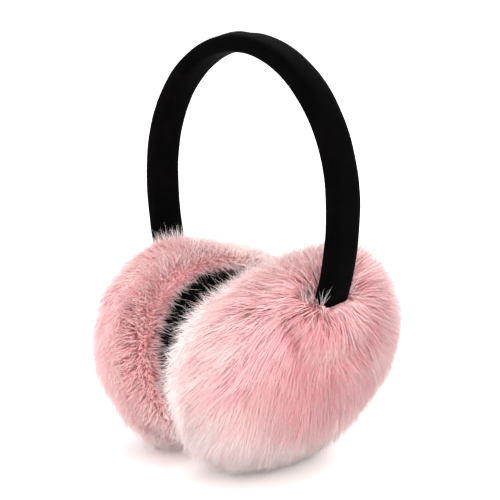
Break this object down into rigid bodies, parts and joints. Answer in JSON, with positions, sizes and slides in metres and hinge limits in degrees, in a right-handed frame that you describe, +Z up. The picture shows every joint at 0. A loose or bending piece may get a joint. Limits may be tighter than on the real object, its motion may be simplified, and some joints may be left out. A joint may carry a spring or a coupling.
{
  "type": "fur earmuffs",
  "caption": "Earmuffs with a padded velvet headband and a round long fur pad at each end, each with a plush cushion towards the ear.",
  "frame": {"origin": "on the surface that the fur pads stand on, midway between them", "axes": "+Z up to the crown of the band, +X towards the left ear, -Y the way that the wearer looks"},
  "size_m": [0.1548, 0.1606, 0.2209],
  "materials": {
    "band_velvet": "black cotton velvet, short even nap",
    "long_fur": "long soft pile, dusty pink with pale tips",
    "cushion_plush": "black short pile plush"
  },
  "bodies": {
    "root": {"headband": "band_velvet", "fur_cover_left": "long_fur", "fur_cover_right": "long_fur", "ear_cushion_left": "cushion_plush", "ear_cushion_right": "cushion_plush"}
  },
  "joints": []
}
